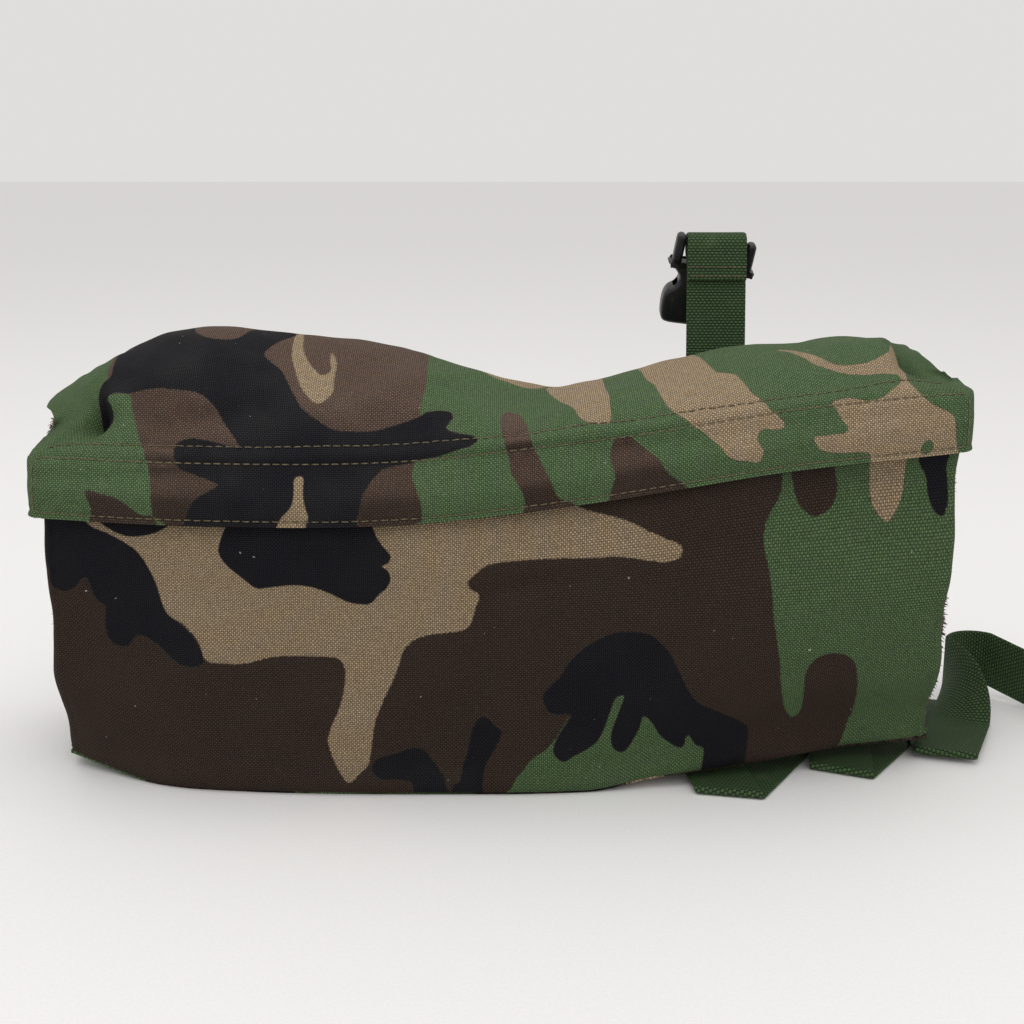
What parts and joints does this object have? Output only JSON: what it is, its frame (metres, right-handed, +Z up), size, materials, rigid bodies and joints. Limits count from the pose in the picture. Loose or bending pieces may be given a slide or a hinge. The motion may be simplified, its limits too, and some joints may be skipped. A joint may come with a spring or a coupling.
{
  "type": "hand warmer muff",
  "caption": "Insulated camouflage hand muff with a pile-lined hand tunnel, a cargo pocket under a storm flap, and a webbing waist belt with a side-release buckle.",
  "frame": {"origin": "on the flat underside, at the middle of the muff's length, where it rests on the ground", "axes": "+X along the muff towards the standing end of the belt (the right seen from the pocket side), +Y from the pocket to the back, +Z up"},
  "size_m": [0.4484, 0.1827, 0.211],
  "materials": {
    "camo_cloth": "plain-woven camouflage nylon, matte with a slight sheen",
    "pile": "short brushed pile",
    "wadding": "loose polyester wadding",
    "webbing": "ribbed polypropylene webbing",
    "hook_loop": "hook and loop tape",
    "buckle_plastic": "moulded acetal, satin with a few scuffs"
  },
  "bodies": {
    "muff": {"muff_top_panel": "camo_cloth", "muff_back_panel": "camo_cloth", "muff_bottom_panel": "camo_cloth", "muff_front_wall": "camo_cloth", "insulation_batting": "wadding", "pile_lining": "pile", "cuff_left": "pile", "cuff_right": "pile", "pocket_front_panel": "camo_cloth", "pocket_hem_band": "camo_cloth", "loop_tape": "hook_loop", "pocket_gusset_left": "camo_cloth", "pocket_gusset_right": "camo_cloth", "belt_anchor_left": "webbing", "belt_anchor_right": "webbing", "long_strap": "webbing", "buckle_plug": "buckle_plastic", "strap_keeper": "webbing"},
    "flap": {"flap_face": "camo_cloth", "flap_facing": "camo_cloth", "hook_tape": "hook_loop", "flap_end_left": "camo_cloth", "flap_end_right": "camo_cloth"},
    "short_belt": {"short_strap": "webbing"},
    "socket": {"buckle_socket": "buckle_plastic"}
  },
  "joints": [
    {"name": "flap_lift", "type": "hinge", "parent": "muff", "child": "flap", "pos_m": [0, -0.0435, 0.1455], "axis": [0.9974, 0, 0.0725], "range_deg": [-100, 0]},
    {"name": "short_belt_fold", "type": "hinge", "parent": "muff", "child": "short_belt", "pos_m": [0.093, 0.0493, 0.1276], "axis": [1, 0, 0], "range_deg": [-110, 0]},
    {"name": "socket_swing", "type": "hinge", "parent": "short_belt", "child": "socket", "pos_m": [0.093, 0.06362, 0.20545], "axis": [0.9888, 0.0442, -0.1428], "range_deg": [0, 110]}
  ]
}
